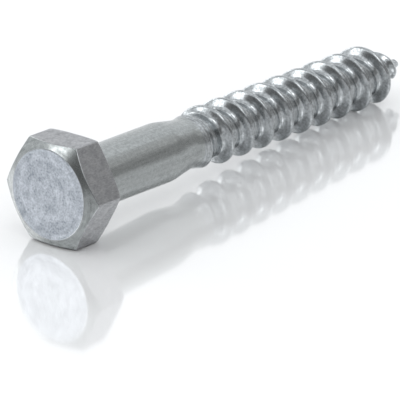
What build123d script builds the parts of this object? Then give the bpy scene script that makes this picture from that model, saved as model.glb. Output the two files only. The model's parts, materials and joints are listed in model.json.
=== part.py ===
from build123d import *
import os
from math import atan, ceil, degrees, floor, radians, sqrt, tan

# Hexagon-head lag screw, 10 x 80 mm: one piece of cold-headed steel with a rolled wood-screw thread.
# It is modelled upright, its shaft along +Z with the underside of the head at z = 0, and then laid down
# as it rests on a table: on the edge of its head and on the last full crest of its thread.
# The origin is the centre of the underside of the head, from which the length of a screw is measured.

# Head
across_flats = 17.0
head_height = 6.7
head_flat_diameter = 15.0
head_bevel_angle = 27.0
head_corner_round = 0.4
head_edge_round = 0.3

# Shaft, with its lengths along the axis
screw_length = 80.0
shank_diameter = 10.0
shank_length = 20.5
underhead_bevel = 0.4
neck_diameter = 8.3
neck_taper_length = 5.0
neck_length = 0.6
swell_length = 5.0

# Thread: its bevels stand for the rounded crest and root that rolling leaves, and thread_turn is how far
# the screw has rolled about its own axis
pitch = 5.0
thread_diameter = 10.3
root_diameter = 7.0
flank_angle = 30.0
crest_width = 0.6
crest_bevel_height = 0.22
crest_bevel_angle = 50.0
root_bevel_height = 0.45
root_bevel_angle = 45.0
groove_start = 28.6
groove_fade_length = 4.4
thread_turn = 183.6

# Gimlet point
point_length = 8.5
nose_length = 3.0
nose_diameter = 5.8
tip_diameter = 1.2
tip_core_diameter = 1.8

# How deep one form reaches into the next, and how far the ridge stands past the crest before it is trimmed
overlap = 0.3
crest_trim = 0.12

shank_radius = shank_diameter / 2
neck_radius = neck_diameter / 2
thread_radius = thread_diameter / 2
root_radius = root_diameter / 2
thread_height = thread_radius - root_radius

neck_start = shank_length + neck_taper_length
swell_start = neck_start + neck_length
thread_start = swell_start + swell_length
point_start = screw_length - point_length
nose_start = screw_length - nose_length

# The head: a hexagon with eased corners, bevelled round its flat top
corner_reach = across_flats / sqrt(3)
bevel_depth = (corner_reach - head_flat_diameter / 2) * tan(radians(head_bevel_angle))

with BuildPart() as head:
    with BuildSketch() as hexagon:
        RegularPolygon(across_flats / 2, 6, major_radius=False, rotation=30 - thread_turn)
        fillet(hexagon.vertices(), head_corner_round)
    extrude(amount=-head_height)
    underside = head.faces().sort_by(Axis.Z)[-1]
    fillet(underside.edges(), head_edge_round)
    with BuildSketch(Plane.XZ):
        with BuildLine():
            Polyline(
                (0, 0),
                (corner_reach, 0),
                (corner_reach, bevel_depth - head_height),
                (head_flat_diameter / 2, -head_height),
                (0, -head_height),
                close=True,
            )
        make_face()
    revolve(axis=Axis.Z, mode=Mode.INTERSECT)

# Half the width of the ridge at each height above the root
top_half = crest_width / 2 - crest_trim * tan(radians(crest_bevel_angle))
shoulder_half = crest_width / 2 + crest_bevel_height * tan(radians(crest_bevel_angle))
flank_height = thread_height - crest_bevel_height - root_bevel_height
ankle_half = shoulder_half + flank_height * tan(radians(flank_angle))
foot_half = ankle_half + root_bevel_height * tan(radians(root_bevel_angle))

# The ridge reaches inwards as far as the point's core needs, and starts and ends in what is trimmed away
foot_depth = root_radius - tip_core_diameter / 2 + overlap
ridge_start = swell_start + overlap
ridge_turns = ceil((screw_length - ridge_start) / pitch + 0.5)
blank_radius = max(shank_radius + underhead_bevel, thread_radius) + overlap

with BuildPart() as shaft:
    # What the thread's groove leaves: the uncut shaft, falling to the root and running out into the point
    with BuildSketch(Plane.YZ):
        with BuildLine():
            Polyline(
                (0, -2 * overlap),
                (blank_radius, -2 * overlap),
                (blank_radius, shank_length),
                (neck_radius + overlap, neck_start),
                (neck_radius + overlap, swell_start),
                (thread_radius, groove_start),
                (root_radius, groove_start + groove_fade_length),
                (root_radius, point_start),
                (tip_core_diameter / 2, screw_length + overlap),
                (0, screw_length + overlap),
                close=True,
            )
        make_face()
    revolve(axis=Axis.Z)

    # The ridge of the thread, wound at constant pitch from the neck to past the tip
    with BuildLine():
        for turn in range(ridge_turns):
            Helix(pitch, pitch, root_radius, center=(0, 0, ridge_start + turn * pitch))
    with BuildSketch(Plane(origin=(root_radius, 0, ridge_start), x_dir=(1, 0, 0), z_dir=(0, -1, 0))):
        with BuildLine():
            Polyline(
                (-foot_depth, -foot_half),
                (0, -foot_half),
                (root_bevel_height, -ankle_half),
                (thread_height - crest_bevel_height, -shoulder_half),
                (thread_height + crest_trim, -top_half),
                (thread_height + crest_trim, top_half),
                (thread_height - crest_bevel_height, shoulder_half),
                (root_bevel_height, ankle_half),
                (0, foot_half),
                (-foot_depth, foot_half),
                close=True,
            )
        make_face()
    sweep(is_frenet=True)

    # The outer form: shank, neck, swelling run-out, crests and blunt point
    with BuildSketch(Plane.YZ):
        with BuildLine():
            Polyline(
                (0, -overlap),
                (shank_radius + underhead_bevel, -overlap),
                (shank_radius + underhead_bevel, 0),
                (shank_radius, underhead_bevel),
                (shank_radius, shank_length),
                (neck_radius, neck_start),
                (neck_radius, swell_start),
                (thread_radius, thread_start),
                (thread_radius, point_start),
                (nose_diameter / 2, nose_start),
                (tip_diameter / 2, screw_length),
                (0, screw_length),
                close=True,
            )
        make_face()
    revolve(axis=Axis.Z, mode=Mode.INTERSECT)

# At rest the lower edge of the head and the far side of the last full crest touch the table
lowest_crest = ridge_start - pitch * thread_turn / 360
last_crest = lowest_crest + pitch * floor((point_start - lowest_crest) / pitch)
rest_length = last_crest + crest_width / 2 + head_edge_round
lean = degrees(atan((across_flats / 2 - thread_radius) / rest_length))

with BuildPart() as lag_screw:
    add(head.part, rotation=(0, 90 + lean, thread_turn))
    add(shaft.part, rotation=(0, 90 + lean, thread_turn))

lag_screw.part.label = "lag_screw"

os.makedirs("parts", exist_ok=True)
export_step(lag_screw.part, "parts/lag_screw.step")
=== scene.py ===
import json
import math

import bpy
import numpy as np
from mathutils import Matrix, Vector


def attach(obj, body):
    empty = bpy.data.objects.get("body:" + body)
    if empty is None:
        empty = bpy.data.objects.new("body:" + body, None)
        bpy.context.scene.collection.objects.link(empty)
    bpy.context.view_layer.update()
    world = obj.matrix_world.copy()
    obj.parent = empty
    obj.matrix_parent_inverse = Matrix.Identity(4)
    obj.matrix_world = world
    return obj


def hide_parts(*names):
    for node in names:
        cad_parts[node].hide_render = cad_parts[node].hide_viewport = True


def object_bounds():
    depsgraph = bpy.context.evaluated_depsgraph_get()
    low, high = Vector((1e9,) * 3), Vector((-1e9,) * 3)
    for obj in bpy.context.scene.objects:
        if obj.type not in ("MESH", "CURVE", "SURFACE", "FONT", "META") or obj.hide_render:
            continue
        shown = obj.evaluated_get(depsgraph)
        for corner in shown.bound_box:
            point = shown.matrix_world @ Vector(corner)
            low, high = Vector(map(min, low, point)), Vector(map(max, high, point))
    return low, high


# The looks of a hexagon-head lag screw in bright zinc-plated steel, lying on a glossy white table.
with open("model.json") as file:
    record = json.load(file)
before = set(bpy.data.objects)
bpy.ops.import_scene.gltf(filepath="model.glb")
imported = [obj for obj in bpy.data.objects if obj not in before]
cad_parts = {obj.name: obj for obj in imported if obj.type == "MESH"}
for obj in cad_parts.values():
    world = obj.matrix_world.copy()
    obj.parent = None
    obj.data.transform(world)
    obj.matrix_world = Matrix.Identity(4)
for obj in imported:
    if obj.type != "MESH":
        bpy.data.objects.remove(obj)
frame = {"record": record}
cad_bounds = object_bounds()
mounts = {mount["name"]: mount for mount in frame["record"]["mounts"]}

MM = 0.001

# Head, in millimetres, with x measured along the screw from the bearing face under the head
SIDES = 6
SIDE_TURN = math.radians(360 / SIDES)
ACROSS_FLATS = 17.0
HEAD_HEIGHT = 6.7
HEAD_FLAT_RADIUS = 7.5
HEAD_BEVEL_ANGLE = math.radians(27)
HEAD_CORNER_ROUND = 0.4
FLAT_RIM_ROUND = 0.35
BEVEL_EDGE_ROUND = 0.07
BEARING_EDGE_ROUND = 0.3
BEARING_CORNER_FALL = 0.35
BEARING_CORNER_DEPTH = 1.0
UNDERHEAD_FILLET = 0.4

# Shaft
SHANK_RADIUS = mounts["shank"]["dims"]["r_mm"]
SHANK_LENGTH = 20.5
NECK_RADIUS = 4.15
NECK_START = 25.5
SWELL_START = 26.1
THREAD_START = 31.1

# Thread: its groove starts shallow in the swell, and reaches full depth after about one turn
PITCH = 5.0
THREAD_RADIUS = 5.15
ROOT_RADIUS = 3.5
CREST_WIDTH = 0.42
CREST_ROUND = 0.13
FLANK_ANGLE = math.radians(25)
ROOT_ROUND = 0.85
GROOVE_START = 27.4
GROOVE_START_RADIUS = 4.45
GROOVE_FULL_DEPTH_AT = 32.7
FIRST_CREST_AT_BOTTOM = 29.0

# Gimlet point
POINT_START = 73.4
POINT_SHOULDER = 76.4
POINT_SHOULDER_RADIUS = 2.85
NOSE_START = 78.4
NOSE_RADIUS = 2.1
POINT_END = 80.9
TIP_RADIUS = 0.75
TIP_ROUND = 0.25
CORE_TAPER_START = 71.5
TIP_CORE_RADIUS = 0.4

# How far the corners of the crest line and the root line are eased, and the step they are drawn in
CREST_LINE_SOFTNESS = 0.45
ROOT_LINE_SOFTNESS = 0.3
LINE_STEP = 0.02

# How many points the outline of the head and the groove have, and how many rings make a rounded edge
SIDE_POINTS = 22
CORNER_POINTS = 5
GROOVE_ARC_POINTS = 12
ARC_RINGS = 5

# Where the rings of each surface of the head stand, as shares of the way across it
FLAT_SHARES = (0.12, 0.3, 0.5, 0.7, 0.85, 0.95, 0.985)
BEVEL_SHARES = (0.05, 0.5, 0.95, 1.0)
SIDE_SHARES = (0, 0.02, 0.15, 0.35, 0.55, 0.75, 0.9, 0.98, 1)
BEARING_SHARES = (0.04, 0.35, 0.7, 0.96)

# The middle of the bevel's rounded edge, as shares of its round: along the screw and inwards
BEVEL_EDGE_ALONG = 0.1
BEVEL_EDGE_INWARDS = 0.3

# The rings of the shaft: far apart on the shank, closer in the neck and closest on the thread
SHANK_RINGS = 12
SHANK_RINGS_END = 19.0
NECK_RINGS_START = 19.5
NECK_RING_STEP = 0.4
THREAD_RINGS_START = 27.0
THREAD_RING_STEP = 0.105

# The grain's darkest and lightest tone, and how much finer grain lies in it
GRAIN_DARKEST = 0.36
GRAIN_LIGHTEST = 0.64
GRAIN_DETAIL = 3.0

# Pits in the struck flat: how far apart, and where their floor and edge are as shares of that
PIT_SPACING = 0.8
PIT_FLOOR = 0.08
PIT_EDGE = 0.28

# A mix node's colour sockets share their names with its number sockets, so they go by their place
MIX_FIRST_COLOUR = 6
MIX_SECOND_COLOUR = 7
MIX_COLOUR_RESULT = 2

# The rest pose: the shaft's axis as the frame gives it, with y level, and how far it dips
shaft_axis = Vector(mounts["shank"]["axis"]).normalized()
sideways = Vector((0, 1, 0))
screw_up = shaft_axis.cross(sideways)
rest_pose = Matrix((shaft_axis, sideways, screw_up)).transposed()
dip = math.asin(-shaft_axis.z)


def hexagon_outline():
    """Angle about the axis, from straight down, and reach of each point of the head's outline."""
    apothem = ACROSS_FLATS / 2
    half_side = (apothem - HEAD_CORNER_ROUND) * math.tan(SIDE_TURN / 2)
    side = [(apothem, along) for along in np.linspace(-half_side, half_side, SIDE_POINTS)]
    for turn in np.linspace(0, SIDE_TURN, CORNER_POINTS + 2)[1:-1]:
        outward = apothem - HEAD_CORNER_ROUND + HEAD_CORNER_ROUND * math.cos(turn)
        side.append((outward, half_side + HEAD_CORNER_ROUND * math.sin(turn)))
    angles = []
    reaches = []
    for number in range(SIDES):
        for outward, along in side:
            angles.append(SIDE_TURN * number + math.atan2(along, outward))
            reaches.append(math.hypot(along, outward))
    return np.array(angles), np.array(reaches)


def softened(line, fine, softness):
    """A line through the given radii, with its corners eased by a bell-shaped average that wide."""
    values = np.interp(fine, list(line), list(line.values()))
    reach = int(4 * softness / LINE_STEP)
    offsets = np.arange(-reach, reach + 1) * LINE_STEP
    bell = np.exp(-0.5 * (offsets / softness) ** 2)
    padded = np.concatenate([np.full(reach, values[0]), values, np.full(reach, values[-1])])
    return np.convolve(padded, bell / bell.sum(), mode="valid")


def groove_profile():
    """How deep the groove is, from 0 at the crest to 1 at the root, across one pitch."""
    depth = THREAD_RADIUS - ROOT_RADIUS
    slope = np.linspace(0, math.pi / 2 - FLANK_ANGLE, GROOVE_ARC_POINTS)
    crest_x = CREST_WIDTH / 2 + CREST_ROUND * np.sin(slope)
    crest_depth = CREST_ROUND * (1 - np.cos(slope))
    root_rise = ROOT_ROUND * (1 - np.cos(slope[::-1]))
    foot_x = crest_x[-1] + (depth - root_rise[0] - crest_depth[-1]) * math.tan(FLANK_ANGLE)
    root_x = foot_x + ROOT_ROUND * (np.sin(slope[-1]) - np.sin(slope[::-1]))
    half_x = np.concatenate([[0], crest_x, root_x, [PITCH / 2]])
    half_cut = np.concatenate([[0], crest_depth, depth - root_rise, [depth]]) / depth
    across = np.concatenate([half_x, PITCH - half_x[::-1]])
    return across, np.concatenate([half_cut, half_cut[::-1]])


def shaft_radius(x, angle, groove):
    """Radius of the shaft at x (one value for each ring) and angle (one for each column)."""
    crest_line = {
        0: SHANK_RADIUS,
        SHANK_LENGTH: SHANK_RADIUS,
        NECK_START: NECK_RADIUS,
        SWELL_START: NECK_RADIUS,
        THREAD_START: THREAD_RADIUS,
        POINT_START: THREAD_RADIUS,
        POINT_SHOULDER: POINT_SHOULDER_RADIUS,
        NOSE_START: NOSE_RADIUS,
        POINT_END: TIP_RADIUS,
    }
    root_line = {
        SWELL_START: THREAD_RADIUS,
        GROOVE_START: GROOVE_START_RADIUS,
        GROOVE_FULL_DEPTH_AT: ROOT_RADIUS,
        CORE_TAPER_START: ROOT_RADIUS,
        POINT_END: TIP_CORE_RADIUS,
    }
    fine = np.arange(0, POINT_END + LINE_STEP, LINE_STEP)
    outer = softened(crest_line, fine, CREST_LINE_SOFTNESS)
    core = np.minimum(softened(root_line, fine, ROOT_LINE_SOFTNESS), outer)
    turn = angle / (2 * math.pi)
    across = (x[:, None] - FIRST_CREST_AT_BOTTOM - PITCH * turn[None, :]) % PITCH
    cut = np.interp(across, groove[0], groove[1])
    crest = np.interp(x, fine, outer)[:, None]
    root = np.interp(x, fine, core)[:, None]
    return crest - (crest - root) * cut


def head_rings(reach):
    """The head's rings, from its flat to the shank, each with its x, its radius and its surface."""
    rings = []
    bevel_slope = math.tan(HEAD_BEVEL_ANGLE)
    rim_run = FLAT_RIM_ROUND * math.tan(HEAD_BEVEL_ANGLE / 2)

    # The round flat and its softened rim
    for share in FLAT_SHARES:
        rings.append((-HEAD_HEIGHT, (HEAD_FLAT_RADIUS - rim_run) * share, "flat"))
    for turn in np.linspace(0, HEAD_BEVEL_ANGLE, ARC_RINGS):
        x = -HEAD_HEIGHT + FLAT_RIM_ROUND - FLAT_RIM_ROUND * math.cos(turn)
        radius = HEAD_FLAT_RADIUS - rim_run + FLAT_RIM_ROUND * math.sin(turn)
        rings.append((x, radius, "rim" if turn > 0 else "flat"))

    # The bevel that cuts the hexagon's corners, and its rounded edge
    bevel_start = HEAD_FLAT_RADIUS + rim_run
    bevel_end = reach - BEVEL_EDGE_ROUND
    for share in BEVEL_SHARES:
        radius = bevel_start + (bevel_end - bevel_start) * share
        rings.append((-HEAD_HEIGHT + (radius - HEAD_FLAT_RADIUS) * bevel_slope, radius, "bevel"))
    edge_x = -HEAD_HEIGHT + (reach - HEAD_FLAT_RADIUS) * bevel_slope
    x = edge_x + BEVEL_EDGE_ROUND * BEVEL_EDGE_ALONG
    rings.append((x, reach - BEVEL_EDGE_ROUND * BEVEL_EDGE_INWARDS, "bevel"))

    # The six sides, and the edge round the bearing face, worn lower at the corners
    side_start = edge_x + BEVEL_EDGE_ROUND
    apothem = ACROSS_FLATS / 2
    corner = np.clip((reach - apothem) / (ACROSS_FLATS / math.sqrt(3) - apothem), 0, 1) ** 2
    corner_drop = BEARING_CORNER_FALL * corner
    for share in SIDE_SHARES:
        x = side_start + (-BEARING_EDGE_ROUND - side_start) * share
        inward = np.clip((x + BEARING_CORNER_DEPTH) / BEARING_CORNER_DEPTH, 0, 1) ** 2
        rings.append((x, reach - corner_drop * inward, "wrench flat"))
    face_outside = reach - corner_drop - BEARING_EDGE_ROUND
    for turn in np.linspace(0, math.pi / 2, ARC_RINGS + 1)[1:]:
        x = -BEARING_EDGE_ROUND + BEARING_EDGE_ROUND * math.sin(turn)
        rings.append((x, face_outside + BEARING_EDGE_ROUND * math.cos(turn), "wrench flat"))

    # The bearing face and the fillet where the shank leaves it
    face_inside = SHANK_RADIUS + UNDERHEAD_FILLET
    for share in BEARING_SHARES:
        rings.append((0, face_outside + (face_inside - face_outside) * share, "bearing face"))
    for turn in np.linspace(0, math.pi / 2, ARC_RINGS):
        x = UNDERHEAD_FILLET - UNDERHEAD_FILLET * math.cos(turn)
        radius = face_inside - UNDERHEAD_FILLET * math.sin(turn)
        rings.append((x, radius, "bearing face" if turn < math.pi / 4 else "shank"))
    return rings


def shaft_rings(angle):
    """The same for the shaft, through shank, neck and thread, and the x of the very tip."""
    groove = groove_profile()
    plain_x = np.linspace(2 * UNDERHEAD_FILLET, SHANK_RINGS_END, SHANK_RINGS)
    neck_x = np.arange(NECK_RINGS_START, THREAD_RINGS_START, NECK_RING_STEP)
    shank_x = np.concatenate([plain_x, neck_x])
    thread_x = np.arange(THREAD_RINGS_START, POINT_END - TIP_ROUND, THREAD_RING_STEP)
    rings = []
    for x, radii in zip(shank_x, shaft_radius(shank_x, angle, groove)):
        rings.append((x, radii, "shank"))
    for x, radii in zip(thread_x, shaft_radius(thread_x, angle, groove)):
        rings.append((x, radii, "thread"))
    last_x, last_radii = rings[-1][:2]
    for turn in np.linspace(0, math.pi / 2, ARC_RINGS)[1:-1]:
        rings.append((last_x + TIP_ROUND * math.sin(turn), last_radii * math.cos(turn), "thread"))
    return rings, last_x + TIP_ROUND


def build_screw():
    """The whole screw as one closed skin, and the surface that each of its faces belongs to."""
    angle, reach = hexagon_outline()
    shaft, tip_x = shaft_rings(angle)
    rings = head_rings(reach) + shaft
    surfaces = [surface for x, radius, surface in rings]
    rings_x = np.array([np.broadcast_to(x, angle.shape) for x, radius, surface in rings])
    rings_r = np.array([np.broadcast_to(radius, angle.shape) for x, radius, surface in rings])
    skin = np.stack([rings_x, rings_r * np.sin(angle), -rings_r * np.cos(angle)], axis=-1)
    poles = np.array([[-HEAD_HEIGHT, 0, 0], [tip_x, 0, 0]])
    points = np.concatenate([skin.reshape(-1, 3), poles]) @ np.array(rest_pose).T * MM

    # A fan closes each end, and four-sided faces join each ring to the next
    count, columns = rings_x.shape
    neighbours = [(i, (i + 1) % columns) for i in range(columns)]
    last_ring = (count - 1) * columns
    head_pole = count * columns
    faces = [(head_pole, j, i) for i, j in neighbours]
    for low in range(0, last_ring, columns):
        high = low + columns
        faces += [(low + i, low + j, high + j, high + i) for i, j in neighbours]
    faces += [(last_ring + i, last_ring + j, head_pole + 1) for i, j in neighbours]
    face_surfaces = [surface for surface in surfaces + surfaces[-1:] for column in range(columns)]

    mesh = bpy.data.meshes.new("zinc_lag_screw")
    mesh.from_pydata(points.tolist(), [], faces)
    mesh.update()
    for polygon in mesh.polygons:
        polygon.use_smooth = True
    screw = bpy.data.objects.new("zinc_lag_screw", mesh)
    bpy.context.collection.objects.link(screw)
    return screw, face_surfaces


def linear(hex_colour):
    """Linear RGBA of an sRGB colour written as six hex digits."""
    channels = [int(hex_colour[i : i + 2], 16) / 255 for i in (0, 2, 4)]
    return [c / 12.92 if c <= 0.04045 else ((c + 0.055) / 1.055) ** 2.4 for c in channels] + [1.0]


def add_node(tree, kind, settings=None, inputs=None):
    """Adds a node with its settings, each input given as a plain value or as the socket that feeds it."""
    node = tree.nodes.new(kind)
    for name, value in (settings or {}).items():
        setattr(node, name, value)
    for name, value in (inputs or {}).items():
        if isinstance(value, bpy.types.NodeSocket):
            tree.links.new(value, node.inputs[name])
        else:
            node.inputs[name].default_value = value
    return node


def new_material(name):
    """A material with no nodes yet, and the tree that they go into."""
    material = bpy.data.materials.new(name)
    material.use_nodes = True
    material.node_tree.nodes.clear()
    return material, material.node_tree


def lengthwise(tree, place, across_mm, along_mm):
    """Where to read grain pulled out along the screw, or even grain where both sizes are the same."""
    stretch = (1 / along_mm, 1 / across_mm, 1 / across_mm)
    return add_node(
        tree,
        "ShaderNodeMapping",
        inputs={"Vector": place, "Scale": stretch},
    ).outputs["Vector"]


def round_the_axis(tree, place, across_mm, along_mm):
    """Where to read grain that runs in circles round the axis, as the heading die leaves it."""
    flat = add_node(
        tree,
        "ShaderNodeVectorMath",
        {"operation": "MULTIPLY"},
        {0: place, 1: (0, 1, 1)},
    ).outputs["Vector"]
    radius = add_node(
        tree,
        "ShaderNodeVectorMath",
        {"operation": "LENGTH"},
        {0: flat},
    ).outputs["Value"]
    rings = add_node(
        tree,
        "ShaderNodeMath",
        {"operation": "DIVIDE"},
        {0: radius, 1: across_mm},
    ).outputs["Value"]
    outward = add_node(
        tree,
        "ShaderNodeVectorMath",
        {"operation": "NORMALIZE"},
        {0: flat},
    ).outputs["Vector"]
    circle = add_node(
        tree,
        "ShaderNodeVectorMath",
        {"operation": "SCALE"},
        {0: outward, "Scale": HEAD_FLAT_RADIUS / along_mm},
    ).outputs["Vector"]
    across = add_node(
        tree,
        "ShaderNodeCombineXYZ",
        inputs={"X": rings},
    ).outputs["Vector"]
    return add_node(
        tree,
        "ShaderNodeVectorMath",
        {"operation": "ADD"},
        {0: circle, 1: across},
    ).outputs["Vector"]


def along_the_thread(tree, place, across_mm, along_mm):
    """Where to read grain that follows the thread round the screw, as the rolling dies leave it."""
    axes = add_node(tree, "ShaderNodeSeparateXYZ", inputs={"Vector": place}).outputs
    down = add_node(
        tree,
        "ShaderNodeMath",
        {"operation": "MULTIPLY"},
        {0: axes["Z"], 1: -1.0},
    ).outputs["Value"]
    angle = add_node(
        tree,
        "ShaderNodeMath",
        {"operation": "ARCTAN2"},
        {0: axes["Y"], 1: down},
    ).outputs["Value"]
    turn = add_node(
        tree,
        "ShaderNodeMath",
        {"operation": "DIVIDE"},
        {0: angle, 1: 2 * math.pi},
    ).outputs["Value"]
    pitches = add_node(
        tree,
        "ShaderNodeMath",
        {"operation": "MULTIPLY_ADD"},
        {0: axes["X"], 1: 1 / PITCH, 2: -FIRST_CREST_AT_BOTTOM / PITCH},
    ).outputs["Value"]
    wound = add_node(
        tree,
        "ShaderNodeMath",
        {"operation": "SUBTRACT"},
        {0: pitches, 1: turn},
    ).outputs["Value"]
    ridge = add_node(
        tree,
        "ShaderNodeMath",
        {"operation": "FLOOR"},
        {0: wound},
    ).outputs["Value"]
    share = add_node(
        tree,
        "ShaderNodeMath",
        {"operation": "FRACT"},
        {0: wound},
    ).outputs["Value"]
    turns = add_node(
        tree,
        "ShaderNodeMath",
        {"operation": "ADD"},
        {0: ridge, 1: turn},
    ).outputs["Value"]
    groove_place = add_node(
        tree,
        "ShaderNodeCombineXYZ",
        inputs={"X": share, "Y": turns},
    ).outputs["Vector"]
    once_round = math.pi * (THREAD_RADIUS + ROOT_RADIUS)
    return add_node(
        tree,
        "ShaderNodeVectorMath",
        {"operation": "MULTIPLY"},
        {0: groove_place, 1: (PITCH / across_mm, once_round / along_mm, 0)},
    ).outputs["Vector"]


def zinc(name, light, dark, roughness, relief_mm, grains, pits=0.0):
    """Zinc over steel, from a light tone to a dark one, each with its roughness.

    Each grain says how it runs, its width and length in millimetres and its share of the tone.
    """
    material, tree = new_material(name)
    metres = add_node(tree, "ShaderNodeTexCoord").outputs["Object"]
    place = add_node(
        tree,
        "ShaderNodeMapping",
        inputs={"Vector": metres, "Scale": (1 / MM, 1 / MM, 1 / MM), "Rotation": (0, -dip, 0)},
    ).outputs["Vector"]
    tone = 0.0
    for runs, across_mm, along_mm, share in grains:
        grain = add_node(
            tree,
            "ShaderNodeTexNoise",
            inputs={
                "Vector": runs(tree, place, across_mm, along_mm),
                "Scale": 1.0,
                "Detail": GRAIN_DETAIL,
            },
        ).outputs["Fac"]
        tone = add_node(
            tree,
            "ShaderNodeMath",
            {"operation": "MULTIPLY_ADD"},
            {0: grain, 1: share, 2: tone},
        ).outputs["Value"]
    if pits:
        from_pit = add_node(
            tree,
            "ShaderNodeTexVoronoi",
            inputs={"Vector": lengthwise(tree, place, PIT_SPACING, PIT_SPACING), "Scale": 1.0},
        ).outputs["Distance"]
        depth = add_node(
            tree,
            "ShaderNodeMapRange",
            inputs={
                "Value": from_pit,
                "From Min": PIT_FLOOR,
                "From Max": PIT_EDGE,
                "To Min": -pits,
                "To Max": 0.0,
            },
        ).outputs["Result"]
        tone = add_node(
            tree,
            "ShaderNodeMath",
            {"operation": "ADD"},
            {0: tone, 1: depth},
        ).outputs["Value"]
    shade = add_node(
        tree,
        "ShaderNodeMapRange",
        inputs={"Value": tone, "From Min": GRAIN_DARKEST, "From Max": GRAIN_LIGHTEST},
    ).outputs["Result"]
    colour = add_node(
        tree,
        "ShaderNodeMix",
        {"data_type": "RGBA"},
        {"Factor": shade, MIX_FIRST_COLOUR: linear(dark), MIX_SECOND_COLOUR: linear(light)},
    ).outputs[MIX_COLOUR_RESULT]
    rough = add_node(
        tree,
        "ShaderNodeMapRange",
        inputs={"Value": shade, "To Min": roughness[1], "To Max": roughness[0]},
    ).outputs["Result"]
    relief = add_node(
        tree,
        "ShaderNodeBump",
        inputs={"Height": tone, "Distance": relief_mm * MM},
    ).outputs["Normal"]
    shader = add_node(
        tree,
        "ShaderNodeBsdfPrincipled",
        inputs={"Base Color": colour, "Metallic": 1.0, "Roughness": rough, "Normal": relief},
    ).outputs["BSDF"]
    add_node(tree, "ShaderNodeOutputMaterial", inputs={"Surface": shader})
    return material


# The real grain and pits are a few hundredths of a millimetre wide, so they are drawn coarser to show
finishes = {
    # Zinc over the face that the heading punch struck: pale, matt and speckled, with faint circles
    "flat": zinc(
        "zinc_on_struck_flat",
        light="cbd0d7",
        dark="959ba3",
        roughness=(0.36, 0.5),
        relief_mm=0.02,
        grains=[
            (lengthwise, 0.3, 0.3, 0.45),
            (round_the_axis, 0.7, 14.0, 0.25),
            (lengthwise, 1.6, 1.6, 0.3),
        ],
        pits=0.12,
    ),
    # Zinc over the edge that the punch pressed sharp and smooth: a bright thin line round the flat
    "rim": zinc(
        "zinc_on_pressed_rim",
        light="b4b8ba",
        dark="989c9d",
        roughness=(0.18, 0.26),
        relief_mm=0.002,
        grains=[(round_the_axis, 0.4, 3.0, 1.0)],
    ),
    # Zinc over the bevel that the die formed: darker and shinier than the flat, with a clear glint
    "bevel": zinc(
        "zinc_on_die_formed_bevel",
        light="a9adad",
        dark="868a8a",
        roughness=(0.18, 0.28),
        relief_mm=0.004,
        grains=[(round_the_axis, 0.35, 3.0, 0.5), (lengthwise, 0.8, 0.8, 0.5)],
    ),
    # Zinc over sides that slid along the trimming die: even mid grey, satin
    "wrench flat": zinc(
        "zinc_on_trimmed_sides",
        light="b7b8ba",
        dark="919295",
        roughness=(0.3, 0.42),
        relief_mm=0.004,
        grains=[(lengthwise, 0.22, 0.5, 0.6), (lengthwise, 1.2, 1.2, 0.4)],
    ),
    # Zinc over the pressed underside of the head: satin as the sides are, with faint rings
    "bearing face": zinc(
        "zinc_on_pressed_underside",
        light="b0b0b1",
        dark="909092",
        roughness=(0.3, 0.4),
        relief_mm=0.004,
        grains=[(round_the_axis, 0.4, 3.0, 1.0)],
    ),
    # Zinc over drawn wire: smooth and softly shiny, with faint streaks along the shank
    "shank": zinc(
        "zinc_on_drawn_wire",
        light="b2b6b6",
        dark="999d9d",
        roughness=(0.2, 0.28),
        relief_mm=0.002,
        grains=[(lengthwise, 0.25, 9.0, 0.4), (lengthwise, 0.5, 0.5, 0.6)],
    ),
    # Zinc over steel burnished between rolling dies: shinier than the shank, streaked along the turn
    "thread": zinc(
        "zinc_on_rolled_thread",
        light="c0c4c6",
        dark="8a8e90",
        roughness=(0.15, 0.24),
        relief_mm=0.008,
        grains=[(along_the_thread, 0.3, 2.5, 0.5), (lengthwise, 0.4, 0.4, 0.5)],
    ),
}
screw, face_surfaces = build_screw()
for finish in finishes.values():
    screw.data.materials.append(finish)
place_of = {surface: i for i, surface in enumerate(finishes)}
screw.data.polygons.foreach_set("material_index", [place_of[surface] for surface in face_surfaces])
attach(screw, "root")
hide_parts("lag_screw")

# The table: a large sheet of polished white glass under the screw, which mirrors it
TABLE_SIZE = 6.0
floor_z = cad_bounds[0][2]
bpy.ops.mesh.primitive_plane_add(size=TABLE_SIZE, location=(0, 0, floor_z))
table = bpy.context.object
table.name = "white_table"
# White back-painted glass: it mirrors the screw, and stays white where nothing is mirrored. Its IOR
# is raised from the 1.5 of window glass until the screw's mirror image is as strong as in the photo
glass, tree = new_material("white_back_painted_glass")
shader = add_node(
    tree,
    "ShaderNodeBsdfPrincipled",
    inputs={"Base Color": linear("f0f0f0"), "Roughness": 0.08, "IOR": 2.6, "Specular IOR Level": 1.0},
).outputs["BSDF"]
add_node(tree, "ShaderNodeOutputMaterial", inputs={"Surface": shader})
table.data.materials.append(glass)

# Camera: a long lens, so the screw's far end is hardly smaller than its near end. At azimuth 0 it
# would look along +y
PHOTO_PIXELS = 400
FOCAL_PIXELS = 8000
SENSOR_MM = 36
CLIP_END = 20
AZIMUTH = math.radians(-49.035)
ELEVATION = math.radians(21.329)
ROLL = math.radians(1.770)
AIM = Vector((30.556, 0.577, -12.499)) * MM
DISTANCE = 1.29676

towards_camera = Vector(
    (
        math.sin(AZIMUTH) * math.cos(ELEVATION),
        -math.cos(AZIMUTH) * math.cos(ELEVATION),
        math.sin(ELEVATION),
    )
)
lens = bpy.data.cameras.new("camera")
lens.sensor_width = SENSOR_MM
lens.lens = SENSOR_MM * FOCAL_PIXELS / PHOTO_PIXELS
lens.clip_end = CLIP_END
camera = bpy.data.objects.new("camera", lens)
bpy.context.collection.objects.link(camera)
upright = towards_camera.to_track_quat("Z", "Y").to_matrix().to_4x4()
stand = Matrix.Translation(AIM + towards_camera * DISTANCE)
camera.matrix_world = stand @ upright @ Matrix.Rotation(-ROLL, 4, "Z")
bpy.context.scene.camera = camera

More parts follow.
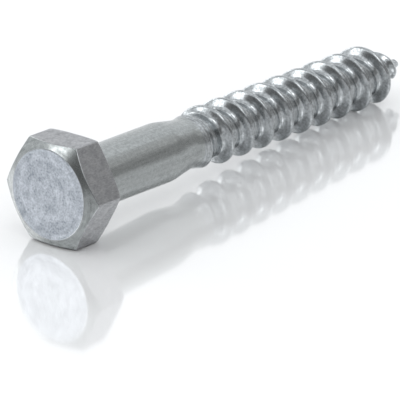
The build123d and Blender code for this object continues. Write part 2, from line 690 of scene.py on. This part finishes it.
# Where the lamps and cards stand: round the middle of the screw, in metres
SCREW_MIDDLE = Vector((0.035, 0, 0))
LAMP_DISTANCE = 2.0
CARD_STEPS = 24
CARD_LIFT = 0.001


def compass(azimuth, elevation):
    """Direction from the screw: azimuth 0 is +y and 90 is +x, in degrees."""
    a = math.radians(azimuth)
    e = math.radians(elevation)
    return Vector((math.sin(a) * math.cos(e), math.cos(a) * math.cos(e), math.sin(e)))


def softbox(name, towards, size, radiance):
    """A square soft light in the given direction, facing the screw. Its size is in metres."""
    light = bpy.data.lights.new(name, "AREA")
    light.shape = "SQUARE"
    light.size = size
    light.energy = radiance * math.pi * size * size
    lamp = bpy.data.objects.new(name, light)
    facing = towards.to_track_quat("Z", "Y").to_matrix().to_4x4()
    lamp.matrix_world = Matrix.Translation(SCREW_MIDDLE + towards * LAMP_DISTANCE) @ facing
    lamp.visible_camera = False
    bpy.context.collection.objects.link(lamp)


def card(name, start, end, radius, top, painted_reflection_colour):
    """A curved card on the table, from one azimuth to another, that glows an even grey: a painted
    reflection, seen only where something mirrors it.

    The radius is in metres, and its top edge stands the given degrees above the middle of the screw.
    """
    height = radius * math.tan(math.radians(top))
    points = []
    for azimuth in np.linspace(start, end, CARD_STEPS):
        foot = SCREW_MIDDLE + compass(azimuth, 0) * radius
        points += [(foot.x, foot.y, floor_z + CARD_LIFT), (foot.x, foot.y, height)]
    faces = [(2 * i, 2 * i + 1, 2 * i + 3, 2 * i + 2) for i in range(CARD_STEPS - 1)]
    mesh = bpy.data.meshes.new(name)
    mesh.from_pydata(points, [], faces)
    standing = bpy.data.objects.new(name, mesh)
    bpy.context.collection.objects.link(standing)
    # Painted reflection: the card glows an even grey however it is lit, standing in for a dark room round
    # the table
    painted_reflection, tree = new_material(name + "_paper")
    glow = add_node(
        tree,
        "ShaderNodeEmission",
        inputs={"Color": linear(painted_reflection_colour), "Strength": 1.0},
    ).outputs["Emission"]
    add_node(tree, "ShaderNodeOutputMaterial", inputs={"Surface": glow})
    mesh.materials.append(painted_reflection)
    # The glowing card lights nothing and casts no shadow; only gloss shows it, as a painted reflection
    standing.visible_camera = False
    standing.visible_diffuse = False
    standing.visible_shadow = False


# Soft windows give the highlights: high behind the camera, nearly overhead, at the left and behind
softbox("high_window", compass(-145, 49), size=0.8, radiance=2.3)
softbox("skylight", compass(141, 68), size=0.5, radiance=2.4)
softbox("left_window", compass(-60, 30), size=0.76, radiance=2.1)
softbox("back_window", compass(-4, 28), size=1.15, radiance=1.7)

# Glowing grey cards round the near side, painted reflections of a dark room, are what the sides, the
# bevel and the lower thread mirror
card("dark_card_left", -102, -76, radius=0.7, top=30, painted_reflection_colour="787878")
card("dark_card_low_left", -76, -48, radius=0.7, top=10, painted_reflection_colour="959595")
card("low_card_front_left", -138, -102, radius=0.35, top=17, painted_reflection_colour="949494")
card("dark_card_front", -195, -138, radius=0.35, top=26, painted_reflection_colour="8a8a8a")
card("grey_card_right", -255, -195, radius=0.35, top=26, painted_reflection_colour="a9a9a9")
card("pale_card_right", -262, -190, radius=0.45, top=42, painted_reflection_colour="d8d8d8")

# The room round the table: plain white walls and ceiling
room = bpy.data.worlds.new("room")
bpy.context.scene.world = room
room.use_nodes = True
tree = room.node_tree
tree.nodes.clear()
walls = add_node(
    tree,
    "ShaderNodeBackground",
    inputs={"Color": linear("fbfdff"), "Strength": 1.0},
).outputs["Background"]
add_node(tree, "ShaderNodeOutputWorld", inputs={"Surface": walls})

bpy.context.scene.view_settings.view_transform = "Standard"
